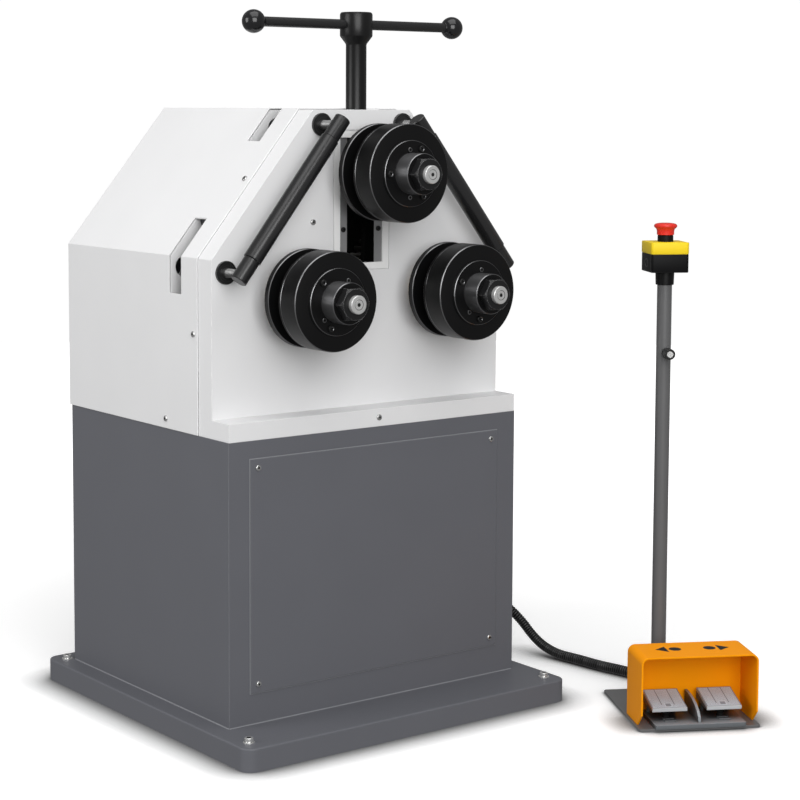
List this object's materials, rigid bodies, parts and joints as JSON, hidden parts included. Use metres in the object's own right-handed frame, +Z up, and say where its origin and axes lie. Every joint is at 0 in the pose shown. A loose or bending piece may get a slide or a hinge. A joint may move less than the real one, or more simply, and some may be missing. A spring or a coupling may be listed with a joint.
{
  "type": "ring roller",
  "caption": "Three-roll bender for bars and sections: driven lower rolls, hand-screwed upper roll, side guide rollers, cabinet, and a pedestal with guarded foot pedals and a stop button.",
  "frame": {"origin": "centre of the base plate's underside, on the floor", "axes": "+X to the operator's right, +Y towards the machine's back, +Z up"},
  "size_m": [1.0287, 1.0672, 1.3085],
  "materials": {
    "dark_paint": "satin dark grey paint",
    "light_paint": "satin light grey paint",
    "steel": "ground steel",
    "black_steel": "black oxide on turned steel",
    "zinc": "bright zinc plate",
    "bronze": "plain bearing bronze",
    "gear_steel": "oiled gear steel",
    "machine_grey": "grey enamel",
    "black_plastic": "black plastic",
    "ball_plastic": "polished black plastic",
    "yellow_plastic": "yellow plastic",
    "red_plastic": "red plastic",
    "orange_paint": "orange powder coat",
    "pedal_alloy": "cast light alloy",
    "casting_grey": "grey cast base",
    "stand_paint": "dark grey paint",
    "spring_rubber": "rubber",
    "conduit_plastic": "grey conduit"
  },
  "bodies": {
    "machine": {"base_plate": "dark_paint", "levelling_bolts": "zinc", "cabinet_shell": "dark_paint", "service_panel": "dark_paint", "cover_screws": "black_steel", "control_box": "machine_grey", "frame_front_plate": "light_paint", "frame_rear_plate": "light_paint", "frame_tie_bars": "steel", "guide_rails": "steel", "head_casing": "light_paint", "lower_shaft_bushes": "bronze", "spindle_bush": "bronze", "gearbox": "machine_grey", "drive_motor": "machine_grey", "guide_bars": "black_steel", "guide_studs": "zinc", "conduit": "conduit_plastic", "conduit_glands": "black_plastic", "stand_frame": "stand_paint", "post_collar": "black_plastic", "estop_box_base": "black_plastic", "estop_box_lid": "yellow_plastic", "estop_bezel": "black_plastic", "pedal_base": "casting_grey", "foot_guard": "orange_paint", "pedal_pins": "steel", "pedal_springs": "spring_rubber"},
    "left_roll": {"left_shaft": "black_steel", "left_roll_rear": "black_steel", "left_roll_front": "black_steel", "left_clamp_flange": "black_steel", "left_nut": "black_steel", "left_gear": "gear_steel"},
    "right_roll": {"right_shaft": "black_steel", "right_roll_rear": "black_steel", "right_roll_front": "black_steel", "right_clamp_flange": "black_steel", "right_nut": "black_steel", "right_gear": "gear_steel"},
    "upper_roll": {"upper_shaft": "black_steel", "upper_roll_rear": "black_steel", "upper_roll_front": "black_steel", "upper_clamp_flange": "black_steel", "upper_nut": "black_steel"},
    "pinion": {"drive_pinion": "gear_steel"},
    "slide": {"slide_block": "steel", "slide_bushes": "bronze", "feed_screw": "steel"},
    "handle": {"handle_sleeve": "black_steel", "handle_bar": "steel", "handle_knobs": "ball_plastic", "thrust_collar": "steel"},
    "left_guide": {"left_guide_roller": "black_steel"},
    "right_guide": {"right_guide_roller": "black_steel"},
    "stop_plunger": {"estop_plunger": "black_plastic"},
    "stop_head": {"estop_head": "red_plastic"},
    "left_foot_pedal": {"left_pedal": "pedal_alloy"},
    "right_foot_pedal": {"right_pedal": "pedal_alloy"},
    "post_clamp": {"post_knob": "black_plastic"}
  },
  "joints": [
    {"name": "left_roll_spin", "type": "hinge", "parent": "machine", "child": "left_roll", "pos_m": [-0.16, -0.2, 0.797], "axis": [0, 1, 0], "continuous": true},
    {"name": "right_roll_spin", "type": "hinge", "parent": "machine", "child": "right_roll", "pos_m": [0.16, -0.2, 0.797], "axis": [0, 1, 0], "continuous": true},
    {"name": "pinion_spin", "type": "hinge", "parent": "machine", "child": "pinion", "pos_m": [0, -0.1, 0.75669], "axis": [0, 1, 0], "continuous": true},
    {"name": "handle_turn", "type": "hinge", "parent": "machine", "child": "handle", "pos_m": [0, -0.173, 1.1], "axis": [0, 0, 1], "range_deg": [-9450, 0]},
    {"name": "slide_feed", "type": "slide", "parent": "machine", "child": "slide", "axis": [0, 0, 1], "range_m": [-0.10501, 0]},
    {"name": "upper_roll_spin", "type": "hinge", "parent": "slide", "child": "upper_roll", "pos_m": [0, -0.2, 1.018], "axis": [0, 1, 0], "continuous": true},
    {"name": "left_guide_spin", "type": "hinge", "parent": "machine", "child": "left_guide", "pos_m": [-0.195, -0.247, 0.9745], "axis": [0.6225, 0, 0.7826], "continuous": true},
    {"name": "right_guide_spin", "type": "hinge", "parent": "machine", "child": "right_guide", "pos_m": [0.195, -0.247, 0.9745], "axis": [-0.6225, 0, 0.7826], "continuous": true},
    {"name": "stop_press", "type": "slide", "parent": "machine", "child": "stop_plunger", "axis": [0, 0, 1], "range_m": [-0.005, 0]},
    {"name": "stop_twist", "type": "hinge", "parent": "stop_plunger", "child": "stop_head", "pos_m": [0.52647, -0.45017, 0.905], "axis": [0, 0, 1], "range_deg": [-45, 0], "stiffness_Nm_per_rad": 0.05},
    {"name": "left_pedal_press", "type": "hinge", "parent": "machine", "child": "left_foot_pedal", "pos_m": [0.4323, -0.55138, 0.038], "axis": [0.8771, -0.4802, 0], "range_deg": [0, 8], "stiffness_Nm_per_rad": 2, "springref_deg": -14.32, "deforming": ["pedal_springs"]},
    {"name": "right_pedal_press", "type": "hinge", "parent": "machine", "child": "right_foot_pedal", "pos_m": [0.52352, -0.60132, 0.038], "axis": [0.8771, -0.4802, 0], "range_deg": [0, 8], "stiffness_Nm_per_rad": 2, "springref_deg": -14.32, "deforming": ["pedal_springs"]},
    {"name": "post_clamp_turn", "type": "hinge", "parent": "machine", "child": "post_clamp", "pos_m": [0.51302, -0.47473, 0.673], "axis": [-0.4802, -0.8771, 0], "continuous": true}
  ],
  "couplings": [
    {"joint": "right_roll_spin", "follows": "left_roll_spin", "ratio": 1},
    {"joint": "pinion_spin", "follows": "left_roll_spin", "ratio": -2.3},
    {"joint": "slide_feed", "follows": "handle_turn", "m_per_rad": 0.00063662}
  ]
}
